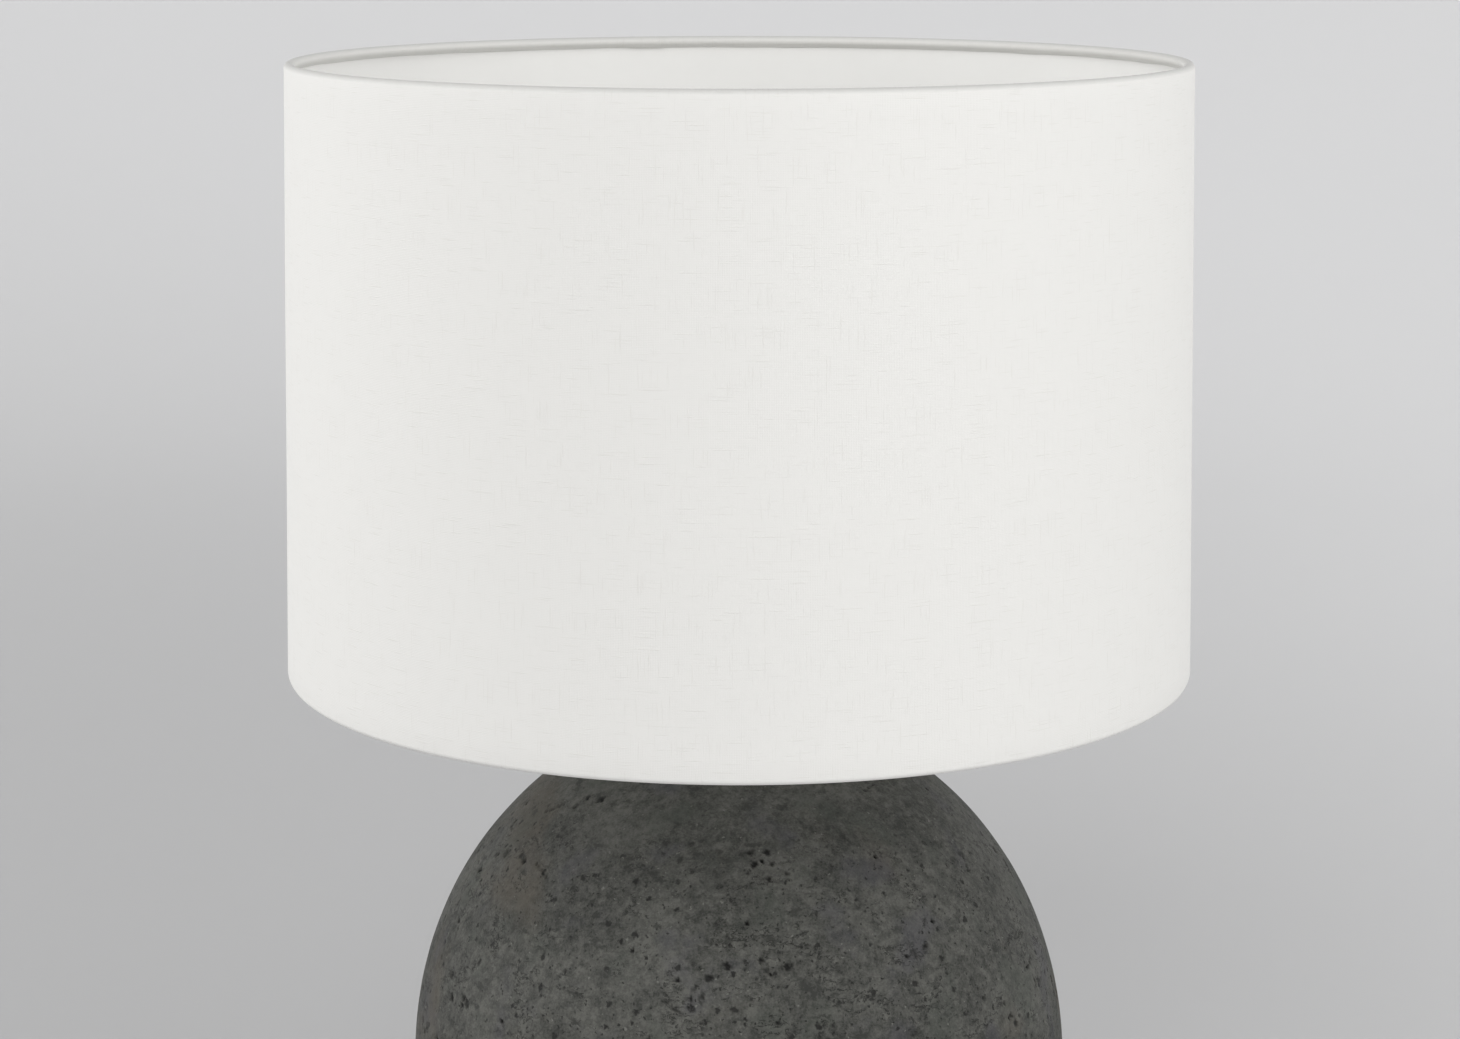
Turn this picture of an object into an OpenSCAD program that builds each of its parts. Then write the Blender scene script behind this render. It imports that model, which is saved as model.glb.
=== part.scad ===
// Table lamp: a round, hollow cast base, a lampholder with a turn switch, and a linen drum shade
// that sits on the lampholder's flange and is held there by a threaded ring.
// Millimetres, +Z up. The origin is on the surface that the lamp stands on, under the lamp's axis.
// The cord inlet is at the back (+Y) and the switch knob is on the right (+X).

/* [Shade] */
// Outside diameter of the shade at its lower edge
shade_bottom_d = 457.2; // [380:0.1:550]
// Outside diameter of the shade at its upper edge
shade_top_d = 444.5; // [370:0.1:540]
// Height of the shade
shade_h = 304.8; // [220:0.1:380]
// Thickness of the linen cover
cover_t = 0.6; // [0.4:0.1:1.2]
// Thickness of the stiff liner behind the linen
liner_t = 0.6; // [0.4:0.1:1.2]
// Diameter of the wire of the two shade rings
ring_wire_d = 3; // [2:0.1:4]
// Height of the hem that is turned in over each ring
hem_h = 5; // [4:0.1:9]
// Gap between a ring's wire and the hem round it
hem_gap = 0.2; // [0.1:0.05:0.5]

/* [Shade fitter] */
// Height of the fitter ring above the shade's lower edge
fitter_rise = 24; // [12:0.5:45]
// Hole of the fitter ring, which drops over the lampholder's thread
fitter_hole_d = 42; // [42:0.1:48]
// Outside diameter of the fitter ring
fitter_d = 60; // [56:0.5:76]
// Thickness of the fitter ring
fitter_t = 2; // [1.5:0.1:3]
// Diameter of the three arms
arm_d = 4; // [3:0.1:5]
// Depth of the weld between an arm and the fitter ring
weld_d = 1; // [0.5:0.1:2]

/* [Base] */
// Largest diameter of the base
base_d = 339; // [270:0.5:420]
// Height from the widest level to the top of the dome
dome_h = 182; // [140:0.5:230]
// Height from the widest level down to the foot
lower_h = 157; // [125:0.5:200]
// Diameter of the foot
foot_d = 200; // [176:0.5:250]
// Rounding of the foot's edge
foot_round = 8; // [4:0.5:12]
// Wall of the casting
wall_t = 9; // [7:0.5:13]
// Outside diameter of the neck
neck_d = 72; // [64:0.5:90]
// Hole through the neck
mouth_d = 50; // [40:0.5:56]
// Height of the neck above the top of the dome
neck_h = 8; // [6:0.5:20]
// Radius of the fillet between the dome and the neck
neck_fillet = 6; // [3:0.5:10]
// Rounding of the neck's edge
neck_round = 2.5; // [1:0.5:4]
// Depth of the recess under the base plate
recess_h = 27; // [25:0.5:40]
// Wall round the recess at the foot
foot_wall = 21; // [18:0.5:26]
// Width of the ledge that the base plate bears on
ledge_w = 18; // [12:0.5:24]
// Thickness of the casting above the ledge
ledge_t = 12; // [8:0.5:16]

/* [Base hardware] */
// Thickness of the felt pad under the foot
pad_t = 3; // [2:0.5:5]
// Outside diameter of the threaded tube
tube_d = 10; // [8:0.1:12]
// Bore of the threaded tube, for the wires
tube_bore_d = 7; // [5:0.1:7.5]
// Thickness of the base plate
plate_t = 2; // [1.5:0.1:4]
// Thickness of each washer
washer_t = 1.5; // [1:0.1:2.5]
// Height of the hexagon nut under the base plate
nut_h = 6; // [5:0.1:8]
// Height of the thin hexagon nut on the vase cap
lock_nut_h = 5; // [4:0.1:7]
// Distance across the flats of both nuts
nut_af = 17; // [15:0.1:19]
// Length of tube that stands out under the nut
tube_tail = 3; // [2:0.5:5]
// Thickness of the rubber washer between the neck and the vase cap
neck_washer_t = 1.5; // [1:0.1:3]
// Thickness of the vase cap
vase_cap_t = 2.5; // [2:0.1:5]
// Overhang of the vase cap past the neck
vase_cap_lip = 2; // [0:0.5:5]
// Thickness of the check ring on the vase cap
check_ring_t = 2; // [1:0.1:4]
// Diameter of the check ring
check_ring_d = 28; // [24:0.5:40]

/* [Cord inlet] */
// Bore of the cord bush
bush_bore_d = 6.4; // [6:0.1:7.2]
// Outside diameter of the bush's sleeve
bush_sleeve_d = 10; // [9.2:0.1:12]
// Length of the bush's sleeve
bush_sleeve_l = 14; // [10:0.5:16]
// Outside diameter of the bush's flange
bush_flange_d = 14; // [13:0.1:16]
// Thickness of the bush's flange
bush_flange_t = 2; // [1.5:0.1:3]
// Height of the inlet above the bottom of the casting
inlet_h = 19; // [17:0.5:22]

/* [Lampholder] */
// Outside diameter of the lampholder's threaded skirt, over the thread
skirt_d = 39; // [36:0.1:40]
// Depth of the skirt's thread
thread_depth = 0.8; // [0.5:0.1:1]
// Pitch of the skirt's thread
thread_pitch = 2.5; // [2:0.1:4]
// Height of the skirt above the flange
skirt_h = 30; // [22:0.5:40]
// Bore of the lampholder
holder_bore_d = 33; // [31:0.1:33.4]
// Diameter of the lampholder under the flange
holder_d = 37; // [36.5:0.1:38.4]
// Diameter of the flange that the shade sits on
flange_d = 50; // [46:0.5:60]
// Thickness of the flange
flange_t = 2.5; // [2:0.1:4]
// Height of the insulator's underside below the flange's top
insulator_drop = 5.5; // [4.5:0.5:7]
// Height of the cap's threaded collar
collar_h = 9; // [7:0.5:12]
// Diameter of the collar
collar_d = 18; // [16:0.5:24]
// Height of the cap's cup
cap_cup_h = 8; // [6:0.5:10]
// Wall of the cap's cup
cap_wall_t = 1.4; // [1:0.1:2]
// Thickness of the cap's floor
cap_floor_t = 2; // [1.5:0.1:3]
// Thickness of the inner insulator
insulator_t = 9; // [7:0.5:10]
// Diameter of the screw shell's inside
shell_bore_d = 28.2; // [27.8:0.1:28.6]
// Thickness of the screw shell
shell_t = 0.5; // [0.4:0.1:0.8]
// Height of the screw shell
shell_h = 23; // [18:0.5:26]

/* [Switch] */
// Diameter of the switch spindle
spindle_d = 4; // [3:0.1:5]
// Diameter of the switch knob
knob_d = 12; // [9:0.1:13]
// Length of the switch knob
knob_l = 15; // [12:0.5:22]
// Number of flutes round the knob
knob_flutes = 12; // [8:1:18]
// Space above and below the knob, to the flange and to the cap
knob_gap = 0.75; // [0.4:0.05:2]

/* [Shade ring] */
// Outside diameter of the threaded shade ring
shade_ring_d = 57; // [52:0.5:64]
// Height of the shade ring
shade_ring_h = 8; // [6:0.5:12]
// Thickness of the shade ring's flange
shade_ring_flange_t = 2.5; // [2:0.1:4]
// Number of grip notches round the shade ring
grip_notches = 24; // [12:1:36]

/* [Bulb] */
// Diameter of the bulb
bulb_d = 60; // [50:0.5:70]
// Length of the bulb, from its contact to its top
bulb_l = 110; // [95:0.5:125]
// Diameter of the bulb's screw cap, over the thread
bulb_cap_d = 26.6; // [26:0.1:27]
// Height of the bulb's screw cap
bulb_cap_h = 21; // [18:0.5:24]
// Height of the bulb's opaque housing
housing_h = 28; // [20:0.5:34]
// Wall of the bulb's diffuser
diffuser_t = 1.2; // [0.8:0.1:2]

/* [Clearances] */
// Gap between a piece that turns and the one beside it
turn_gap = 0.3; // [0.2:0.05:0.5]
// Radial gap between a hole and the tube or screw that passes through it
hole_gap = 0.3; // [0.1:0.05:0.6]

/* [Hidden] */
$fn = 96;
arc_steps = 8;      // straight pieces in a small arc
curve_steps = 30;   // straight pieces in each long curve of the base
eps = 0.05;         // how far a cutter runs past the face that it cuts

// Levels of the base, from the bottom up
foot_z = pad_t;
equator_z = foot_z + lower_h;
apex_z = equator_z + dome_h;
neck_top_z = apex_z + neck_h;
ledge_z = foot_z + recess_h;
floor_z = ledge_z + ledge_t;
base_r = base_d / 2;
foot_r = foot_d / 2;
neck_r = neck_d / 2;
mouth_r = mouth_d / 2;
recess_r = foot_r - foot_wall;
plate_r = recess_r - 1;

// Levels of the stack on the neck
vase_cap_z = neck_top_z + neck_washer_t;
check_ring_z = vase_cap_z + vase_cap_t;
lock_nut_z = check_ring_z + check_ring_t;
holder_z = lock_nut_z + lock_nut_h;
cup_z = holder_z + collar_h;
cup_top_z = cup_z + cap_cup_h;
spindle_z = cup_top_z + knob_gap + knob_d / 2;
seat_z = spindle_z + knob_d / 2 + knob_gap + flange_t;
skirt_top_z = seat_z + skirt_h;
tube_top_z = cup_z - 1;
plate_z = ledge_z - plate_t;
nut_z = plate_z - 2 * washer_t - nut_h;
tube_bottom_z = nut_z - tube_tail;

// Lampholder
skirt_r = skirt_d / 2;
holder_r = holder_d / 2;
holder_bore_r = holder_bore_d / 2;
tube_r = tube_d / 2;
thread_count = floor((skirt_h - 3) / thread_pitch);
thread_gap = 0.4;   // between the skirt's thread and the shade ring's
cup_bore_r = holder_r + 0.1;
cup_r = cup_bore_r + cap_wall_t;
cup_floor_z = cup_z + cap_floor_t;
insulator_z = seat_z - insulator_drop;
shell_z = insulator_z + insulator_t;
shell_bore_r = shell_bore_d / 2;
contact_h = 2.5;
contact_top_z = shell_z + contact_h;

// Switch
spindle_r = spindle_d / 2;
spindle_x = -2;
knob_r = knob_d / 2;
knob_x = cup_r + knob_gap;
knob_end = 4;               // solid end of the knob past the spindle
cam_r = spindle_r + 1;

// Shade
shade_z = seat_z + turn_gap - fitter_rise;
shade_top_z = shade_z + shade_h;
bottom_r = shade_bottom_d / 2;
top_r = shade_top_d / 2;
rim_w = 2 * cover_t + liner_t + ring_wire_d + hem_gap;
fitter_z = shade_z + fitter_rise;
fitter_r = fitter_d / 2;
wire_r = ring_wire_d / 2;
wall_lean = atan((bottom_r - top_r) / (shade_h - rim_w));
wire_inset = cover_t + liner_t + wire_r / cos(wall_lean);
arm_r = arm_d / 2;
arm_inner = [fitter_r - weld_d, fitter_z + fitter_t / 2];
arm_outer = [bottom_r - wire_inset, shade_z + rim_w / 2 + wire_r];

// Bulb
bulb_z = contact_top_z + turn_gap;
bulb_cap_r = bulb_cap_d / 2;
cap_bottom_z = bulb_z + 3.5;
cap_top_z = cap_bottom_z + bulb_cap_h;
housing_top_z = cap_top_z + housing_h;
bulb_r = bulb_d / 2;
housing_r = bulb_r * 0.9;
bulb_top_z = bulb_z + bulb_l;

// An arc's points, centred on c, from angle a to angle b
function arc(c, r, a, b, steps = arc_steps) =
    [for (i = [0:steps]) c + r * [cos(a + (b - a) * i / steps), sin(a + (b - a) * i / steps)]];

// A quadratic curve's points, from p to q, pulled towards k
function curve(p, k, q, steps = arc_steps) =
    [for (i = [0:steps]) let (t = i / steps) (1 - t) * (1 - t) * p + 2 * t * (1 - t) * k + t * t * q];

// The dome's height at radius r, for a dome of half width w and height h
function dome_z(r, w, h) = equator_z + h * sqrt(max(0, 1 - pow(r / w, 2)));

// The lower half is part of an ellipse of half width w, which has the radius f at the foot
function lower_b(w, f) = lower_h / sqrt(1 - pow(f / w, 2));

// The lower half's radius at height z
function lower_r(z, w, f) = w * sqrt(1 - pow((equator_z - z) / lower_b(w, f), 2));

// Points of a dome, from the widest level up to the radius r
function dome_points(w, h, r) =
    let (last = acos(r / w))
    [for (i = [0:curve_steps]) let (a = last * i / curve_steps) [w * cos(a), equator_z + h * sin(a)]];

// Points of the lower half, from height z up to just under the widest level
function lower_points(z, w, f) =
    let (b = lower_b(w, f), first = asin((equator_z - z) / b))
    [for (i = [0:curve_steps - 1]) let (a = first * (1 - i / curve_steps)) [w * cos(a), equator_z - b * sin(a)]];

// Points of the lower half, from height z up to the height top
function foot_side_points(z, top, w, f) =
    let (b = lower_b(w, f), first = asin((equator_z - z) / b), last = asin((equator_z - top) / b))
    [for (i = [0:arc_steps]) let (a = first + (last - first) * i / arc_steps)
        [w * cos(a), equator_z - b * sin(a)]];

// A hollow cylinder that stands on z
module ring(z, h, outer, inner) {
    translate([0, 0, z])
    difference() {
        cylinder(h = h, r = outer);
        translate([0, 0, -eps]) cylinder(h = h + 2 * eps, r = inner);
    }
}

// A hexagon nut with its hole, standing on z
module hex_nut(z, h) {
    translate([0, 0, z])
    difference() {
        cylinder(h = h, r = nut_af / 2 / cos(30), $fn = 6);
        translate([0, 0, -eps]) cylinder(h = h + 2 * eps, r = tube_r);
    }
}

// A rod from the point [r, z] to another one, in the plane through the axis
module rod(from, to, r) {
    run = to - from;
    translate([from[0], 0, from[1]])
    rotate([0, atan2(run[0], run[1]), 0])
    cylinder(h = norm(run), r = r);
}

// ---- Base ----

bush_flange_r = bush_flange_d / 2;
spot_r = bush_flange_r + 0.5;
inlet_z = foot_z + inlet_h;
spot_y = lower_r(inlet_z - spot_r, base_r, foot_r) - bush_flange_t - 1;

// Radius of the hollow at the foot: the wall is measured square to its surface, which leans there
hollow_foot_r = foot_r - 1.5 * wall_t;

// The casting is made in two: the hollow body, and the foot that closes it in to the recess.
// They meet square to the axis at the level of the floor.
module body_profile() {
    neck_foot_z = dome_z(neck_r, base_r, dome_h);
    inner_dome = dome_points(base_r - wall_t, dome_h - wall_t, mouth_r);
    inner_lower = lower_points(floor_z, base_r - wall_t, hollow_foot_r);
    polygon(concat(
        lower_points(floor_z, base_r, foot_r),
        dome_points(base_r, dome_h, neck_r + neck_fillet),
        curve([neck_r + neck_fillet, dome_z(neck_r + neck_fillet, base_r, dome_h)],
              [neck_r, neck_foot_z], [neck_r, neck_foot_z + neck_fillet]),
        arc([neck_r - neck_round, neck_top_z - neck_round], neck_round, 0, 90),
        [[mouth_r, neck_top_z]],
        [for (i = [len(inner_dome) - 1:-1:0]) inner_dome[i]],
        [for (i = [len(inner_lower) - 1:-1:0]) inner_lower[i]]
    ));
}

module foot_profile() {
    outer_foot = [lower_r(foot_z + foot_round, base_r, foot_r), foot_z + foot_round];
    polygon(concat(
        curve([foot_r - foot_round, foot_z], [foot_r, foot_z], outer_foot),
        foot_side_points(foot_z + foot_round + 2, floor_z, base_r, foot_r),
        [[recess_r - ledge_w, floor_z], [recess_r - ledge_w, ledge_z],
         [recess_r, ledge_z], [recess_r, foot_z]]
    ));
}

module base_body() {
    color("dimgray")
    rotate_extrude() body_profile();
}

module base_foot() {
    color("dimgray")
    difference() {
        rotate_extrude() foot_profile();
        translate([0, recess_r - ledge_w / 4, inlet_z]) rotate([-90, 0, 0])
            cylinder(h = base_r, r = bush_sleeve_d / 2);
        translate([0, spot_y, inlet_z]) rotate([-90, 0, 0])
            cylinder(h = base_r, r = spot_r);
    }
}

module felt_pad() {
    color("darkslategray")
    cylinder(h = pad_t, r = foot_r - foot_round - 2);
}

module base_plate() {
    color("silver")
    ring(plate_z, plate_t, plate_r, tube_r + hole_gap);
}

module bottom_washer() {
    color("silver")
    ring(plate_z - washer_t, washer_t, nut_af / 2 + 2, tube_r + hole_gap);
}

module bottom_lock_washer() {
    color("gray")
    difference() {
        ring(plate_z - 2 * washer_t, washer_t, nut_af / 2, tube_r + hole_gap);
        translate([0, -0.5, plate_z - 2 * washer_t - eps]) cube([nut_af, 1, washer_t + 2 * eps]);
    }
}

module bottom_nut() {
    color("silver")
    hex_nut(nut_z, nut_h);
}

module threaded_tube() {
    color("goldenrod")
    ring(tube_bottom_z, tube_top_z - tube_bottom_z, tube_r, tube_bore_d / 2);
}

module cord_bush() {
    color("black")
    translate([0, spot_y, inlet_z])
    rotate([-90, 0, 0])
    difference() {
        union() {
            translate([0, 0, -bush_sleeve_l])
                cylinder(h = bush_sleeve_l + bush_flange_t / 2, r = bush_sleeve_d / 2);
            cylinder(h = bush_flange_t, r = bush_flange_r);
        }
        translate([0, 0, -bush_sleeve_l - eps])
            cylinder(h = bush_sleeve_l + bush_flange_t + 2 * eps, r = bush_bore_d / 2);
    }
}

// ---- Stack on the neck ----

module neck_washer() {
    color("black")
    ring(neck_top_z, neck_washer_t, neck_r - neck_round, mouth_r);
}

module vase_cap() {
    color("darkslategray")
    rotate_extrude()
    translate([0, vase_cap_z])
    polygon([
        [tube_r + hole_gap, 0], [neck_r + vase_cap_lip, 0],
        [neck_r + vase_cap_lip, vase_cap_t / 2], [neck_r + vase_cap_lip - 1.5, vase_cap_t],
        [tube_r + hole_gap, vase_cap_t]
    ]);
}

module check_ring() {
    color("black")
    rotate_extrude()
    translate([0, check_ring_z])
    polygon([
        [tube_r + hole_gap, 0], [check_ring_d / 2, 0],
        [check_ring_d / 2, check_ring_t / 2], [check_ring_d / 2 - 1, check_ring_t],
        [tube_r + hole_gap, check_ring_t]
    ]);
}

module lock_nut() {
    color("silver")
    hex_nut(lock_nut_z, lock_nut_h);
}

// ---- Lampholder ----

grub_r = 1.5;
grub_z = holder_z + collar_h / 2;

module holder_cap() {
    color("black")
    difference() {
        rotate_extrude()
        polygon([
            [tube_r, holder_z], [collar_d / 2, holder_z], [collar_d / 2, cup_z],
            [cup_r - 2, cup_z], [cup_r, cup_z + 2], [cup_r, cup_top_z],
            [cup_bore_r, cup_top_z], [cup_bore_r, cup_floor_z], [tube_r, cup_floor_z]
        ]);
        translate([0, 0, grub_z]) rotate([-90, 0, 0]) cylinder(h = collar_d, r = grub_r);
    }
}

module cap_grub_screw() {
    color("silver")
    translate([0, tube_r, grub_z])
    rotate([-90, 0, 0])
    difference() {
        cylinder(h = collar_d / 2 - tube_r, r = grub_r);
        translate([-grub_r, -0.3, collar_d / 2 - tube_r - 1]) cube([2 * grub_r, 0.6, 2]);
    }
}

// The skirt's thread, as points down its side between two heights, moved out by a gap
function thread_points(low, high, gap) =
    [for (i = [0:thread_count - 1], step = [[thread_depth, 0], [0, 0.4], [0, 0.6]])
        let (z = skirt_top_z - (i + step[1]) * thread_pitch)
        if (z > low && z <= high) [skirt_r - step[0] + gap, z]];

module holder_body() {
    color("black")
    difference() {
        rotate_extrude()
        polygon(concat(
            [[holder_bore_r, skirt_top_z]],
            thread_points(seat_z, skirt_top_z, 0),
            [[skirt_r - thread_depth, skirt_top_z - thread_count * thread_pitch],
             [skirt_r - thread_depth, seat_z], [flange_d / 2, seat_z],
             [flange_d / 2, seat_z - flange_t], [holder_r, seat_z - flange_t],
             [holder_r, cup_floor_z], [holder_bore_r, cup_floor_z]]
        ));
        translate([0, 0, spindle_z]) rotate([0, 90, 0]) cylinder(h = flange_d, r = spindle_r + turn_gap);
    }
}

terminal_y = 10.5;
terminal_r = 1.75;
terminal_head_r = terminal_r + 1.3;
terminal_head_h = 1.6;

module holder_insulator() {
    color("white")
    difference() {
        translate([0, 0, insulator_z]) cylinder(h = insulator_t, r = holder_bore_r);
        for (side = [-1, 1])
            translate([0, side * terminal_y, insulator_z - eps])
                cylinder(h = insulator_t / 2 + eps, r = terminal_r);
    }
}

module terminal_screws() {
    color("goldenrod")
    for (side = [-1, 1])
        translate([0, side * terminal_y, insulator_z])
        difference() {
            union() {
                translate([0, 0, -terminal_head_h]) cylinder(h = terminal_head_h, r = terminal_head_r);
                cylinder(h = insulator_t / 2, r = terminal_r);
            }
            translate([-terminal_head_r - 1, -0.4, -terminal_head_h - eps])
                cube([2 * terminal_head_r + 2, 0.8, terminal_head_h / 2]);
        }
}

module screw_shell() {
    color("goldenrod")
    union() {
        ring(shell_z, shell_h, shell_bore_r + shell_t, shell_bore_r);
        ring(shell_z, shell_t, shell_bore_r + shell_t, shell_bore_r - 5);
    }
}

leaf_t = 0.6;
leaf_w = 5;

module centre_contact() {
    color("goldenrod")
    translate([0, leaf_w / 2, shell_z])
    rotate([90, 0, 0])
    linear_extrude(leaf_w)
    polygon([
        [-7, 0], [-4, 0], [-2.5, contact_h - leaf_t], [2.5, contact_h - leaf_t], [4, 0], [7, 0],
        [7, leaf_t], [4.4, leaf_t], [3, contact_h], [-3, contact_h], [-4.4, leaf_t], [-7, leaf_t]
    ]);
}

// ---- Switch ----

cam_l = 8;
cam_grip = 5;       // length of spindle inside the cam
flute_r = 0.8;

module switch_cam() {
    color("white")
    translate([spindle_x + cam_grip - cam_l, 0, spindle_z])
    rotate([0, 90, 0])
    difference() {
        cylinder(h = cam_l, r = cam_r, $fn = 8);
        translate([0, 0, cam_l - cam_grip]) cylinder(h = cam_grip + eps, r = spindle_r);
    }
}

module switch_spindle() {
    color("goldenrod")
    translate([spindle_x, 0, spindle_z])
    rotate([0, 90, 0])
    cylinder(h = knob_x - spindle_x + knob_l - knob_end, r = spindle_r);
}

module switch_knob() {
    color("black")
    translate([knob_x, 0, spindle_z])
    rotate([0, 90, 0])
    difference() {
        rotate_extrude()
        polygon([
            [0, 0], [knob_r - 0.8, 0], [knob_r, 0.8], [knob_r, knob_l - 1.5],
            [knob_r - 0.5, knob_l - 0.6], [knob_r - 1.5, knob_l], [0, knob_l]
        ]);
        translate([0, 0, -eps]) cylinder(h = knob_l - knob_end + eps, r = spindle_r);
        for (i = [0:knob_flutes - 1])
            rotate(i * 360 / knob_flutes) translate([knob_r + 0.3, 0, 2.5])
                cylinder(h = knob_l, r = flute_r);
    }
}

// ---- Threaded shade ring ----

shade_ring_z = fitter_z + fitter_t + turn_gap;
shade_ring_top_z = shade_ring_z + shade_ring_h;
shade_ring_r = shade_ring_d / 2;
hub_r = skirt_r + 4;
notch_r = 1.9;

// Its thread follows the skirt's, so the ridges of one lie in the grooves of the other
module shade_ring() {
    inner = skirt_r + thread_gap;
    flange_z = shade_ring_z + shade_ring_flange_t;
    color("black")
    difference() {
        rotate_extrude()
        polygon(concat(
            [[inner, shade_ring_top_z]],
            thread_points(shade_ring_z + 1, shade_ring_top_z - 1, thread_gap),
            [[inner, shade_ring_z], [shade_ring_r, shade_ring_z], [shade_ring_r, flange_z],
             [hub_r + 0.5, flange_z + 0.5], [hub_r, shade_ring_top_z - 0.8],
             [hub_r - 0.8, shade_ring_top_z]]
        ));
        for (i = [0:grip_notches - 1])
            rotate((i + 0.5) * 360 / grip_notches)
            translate([shade_ring_r + notch_r / 2, 0, shade_ring_z - eps])
                cylinder(h = shade_ring_flange_t + 1, r = notch_r);
    }
}

// ---- Shade ----

module fitter_ring() {
    color("white")
    ring(fitter_z, fitter_t, fitter_r, fitter_hole_d / 2);
}

// The arms stand at 90 degrees (the back), 210 and 330 degrees
function arm_turn(i) = 90 + 120 * (i - 1);

module arm(i) {
    color("white")
    rotate(arm_turn(i)) rod(arm_inner, arm_outer, arm_r);
}

module shade_wire(radius, z) {
    color("white")
    rotate_extrude() translate([radius - wire_inset, z]) circle(r = wire_r, $fn = 32);
}

module shade_liner() {
    out = cover_t;
    color("whitesmoke")
    rotate_extrude()
    polygon([
        [bottom_r - out, shade_z + rim_w / 2], [top_r - out, shade_top_z - rim_w / 2],
        [top_r - out - liner_t, shade_top_z - rim_w / 2],
        [bottom_r - out - liner_t, shade_z + rim_w / 2]
    ]);
}

module shade_cover() {
    low = [bottom_r - rim_w / 2, shade_z + rim_w / 2];
    high = [top_r - rim_w / 2, shade_top_z - rim_w / 2];
    roll = rim_w / 2;
    color("white")
    difference() {
        rotate_extrude()
        polygon(concat(
            [[bottom_r - rim_w, shade_z + hem_h]],
            arc(low, roll, 180, 360), arc(high, roll, 0, 180),
            [[top_r - rim_w, shade_top_z - hem_h], [top_r - rim_w + cover_t, shade_top_z - hem_h]],
            arc(high, roll - cover_t, 180, 0), arc(low, roll - cover_t, 360, 180),
            [[bottom_r - rim_w + cover_t, shade_z + hem_h]]
        ));
        for (i = [1:3])
            rotate(arm_turn(i))
            rod(arm_outer - [10, 0], arm_outer + [0.3, 0], arm_r + 0.6);
    }
}

// ---- Bulb ----

module bulb_contact() {
    color("silver")
    rotate_extrude()
    polygon([[0, bulb_z], [3, bulb_z], [4.5, bulb_z + 0.8], [4.5, bulb_z + 1.8], [0, bulb_z + 1.8]]);
}

module bulb_cap_insulator() {
    color("black")
    rotate_extrude()
    polygon([
        [0, bulb_z + 1.8], [6.5, bulb_z + 1.8], [10.5, cap_bottom_z], [10.5, cap_bottom_z + 1],
        [0, cap_bottom_z + 1]
    ]);
}

module bulb_screw_cap() {
    inner = bulb_cap_r - 1.4;
    ridges = floor((bulb_cap_h - 5) / 3.6);
    color("silver")
    rotate_extrude()
    polygon(concat(
        [[10.5, cap_bottom_z], [bulb_cap_r - 1.2, cap_bottom_z + 1.5]],
        [for (i = [0:ridges - 1]) each [[bulb_cap_r - 1.0, cap_bottom_z + 1.6 + i * 3.6],
                                        [bulb_cap_r, cap_bottom_z + 3 + i * 3.6],
                                        [bulb_cap_r, cap_bottom_z + 3.8 + i * 3.6]]],
        [[bulb_cap_r - 1.0, cap_bottom_z + 1.6 + ridges * 3.6], [bulb_cap_r - 1.0, cap_top_z],
         [inner - 0.6, cap_top_z], [inner - 0.6, cap_bottom_z + 2.5], [10.5, cap_bottom_z + 1]]
    ));
}

housing_t = 1.6;
housing_neck_r = bulb_cap_r + 0.6;
shelf_z = housing_top_z - 3.5;   // top of the plate that carries the board
shelf_t = 1.5;

// The housing's profile, from the screw cap up, moved in by a wall
function housing_side(t) =
    curve([housing_neck_r - t, cap_top_z + 2], [housing_neck_r + 3 - t, cap_top_z + housing_h * 0.5],
          [housing_r - t, housing_top_z], curve_steps / 2);

module bulb_housing() {
    inner = housing_side(housing_t);
    foot = bulb_cap_r - 1.8;
    color("white")
    union() {
        rotate_extrude()
        polygon(concat(
            [[foot, cap_top_z], [housing_neck_r, cap_top_z]], housing_side(0),
            [for (i = [len(inner) - 1:-1:0]) inner[i]], [[foot, cap_top_z + 2]]
        ));
        intersection() {
            translate([0, 0, shelf_z - shelf_t]) cylinder(h = shelf_t, r = housing_r);
            rotate_extrude()
            polygon(concat([[0, cap_top_z]], housing_side(housing_t / 2), [[0, housing_top_z]]));
        }
    }
}

module bulb_led_board() {
    color("khaki")
    translate([0, 0, shelf_z])
    cylinder(h = 1.6, r = housing_r - 4.5);
}

// Outline of the diffuser, from the housing up to the bulb's top, moved in by a wall
function diffuser_side(t) = concat(
    curve([housing_r - t, housing_top_z], [bulb_r - t, housing_top_z + 9],
          [bulb_r - t, bulb_top_z - bulb_r], curve_steps / 2),
    arc([0, bulb_top_z - bulb_r], bulb_r - t, 3, 90, curve_steps)
);

module bulb_diffuser() {
    inner = diffuser_side(diffuser_t);
    color("white")
    rotate_extrude()
    polygon(concat(diffuser_side(0), [for (i = [len(inner) - 1:-1:0]) inner[i]]));
}

base_body();
base_foot();
felt_pad();
base_plate();
bottom_washer();
bottom_lock_washer();
bottom_nut();
threaded_tube();
cord_bush();
neck_washer();
vase_cap();
check_ring();
lock_nut();
holder_cap();
cap_grub_screw();
holder_body();
holder_insulator();
screw_shell();
centre_contact();
terminal_screws();
switch_cam();
switch_spindle();
switch_knob();
shade_ring();
fitter_ring();
arm(1);  // fitter_arm_1
arm(2);  // fitter_arm_2
arm(3);  // fitter_arm_3
shade_wire(bottom_r, shade_z + rim_w / 2);  // bottom_ring_wire
shade_wire(top_r, shade_top_z - rim_w / 2);  // top_ring_wire
shade_liner();
shade_cover();
bulb_contact();
bulb_cap_insulator();
bulb_screw_cap();
bulb_housing();
bulb_led_board();
bulb_diffuser();
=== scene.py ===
import math
import random

import bpy
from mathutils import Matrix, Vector, kdtree, noise


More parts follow.
